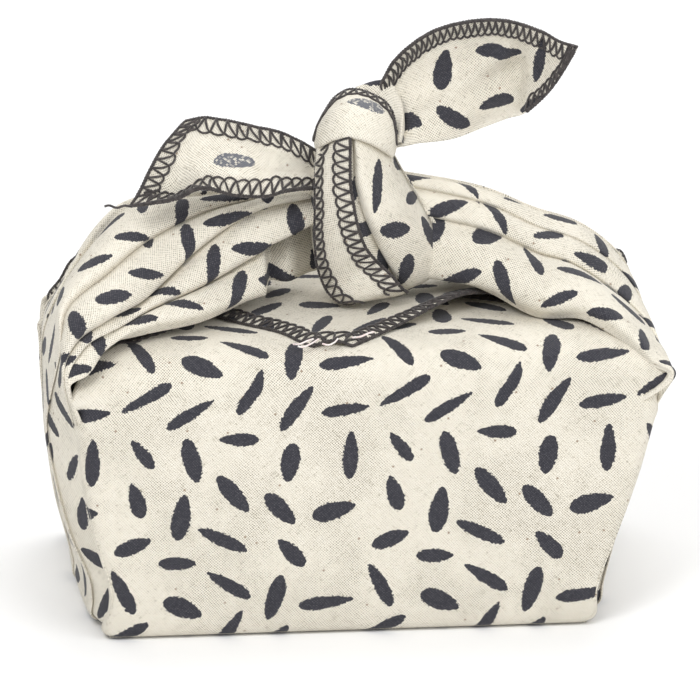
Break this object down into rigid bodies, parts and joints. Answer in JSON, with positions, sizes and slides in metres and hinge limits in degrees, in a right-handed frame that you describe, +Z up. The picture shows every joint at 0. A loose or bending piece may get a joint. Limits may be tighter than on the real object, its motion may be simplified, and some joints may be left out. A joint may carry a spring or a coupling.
{
  "type": "furoshiki wrap",
  "caption": "Square cotton cloth wrapped and knotted as a hollow carrying bundle, with pleated ears, a front flap and free tails.",
  "frame": {"origin": "centre of the wrap's outline seen from above, at the bottom face it rests on", "axes": "+Z up, -Y towards the side with the flap's tip, +X along the long side towards the free-standing tail"},
  "size_m": [0.1918, 0.1004, 0.182],
  "materials": {
    "cotton": "matt plain-weave cotton, natural cream with a scattered dark seed print and a dark overlocked edge"
  },
  "bodies": {
    "root": {"wrap_cloth": "cotton"}
  },
  "joints": []
}
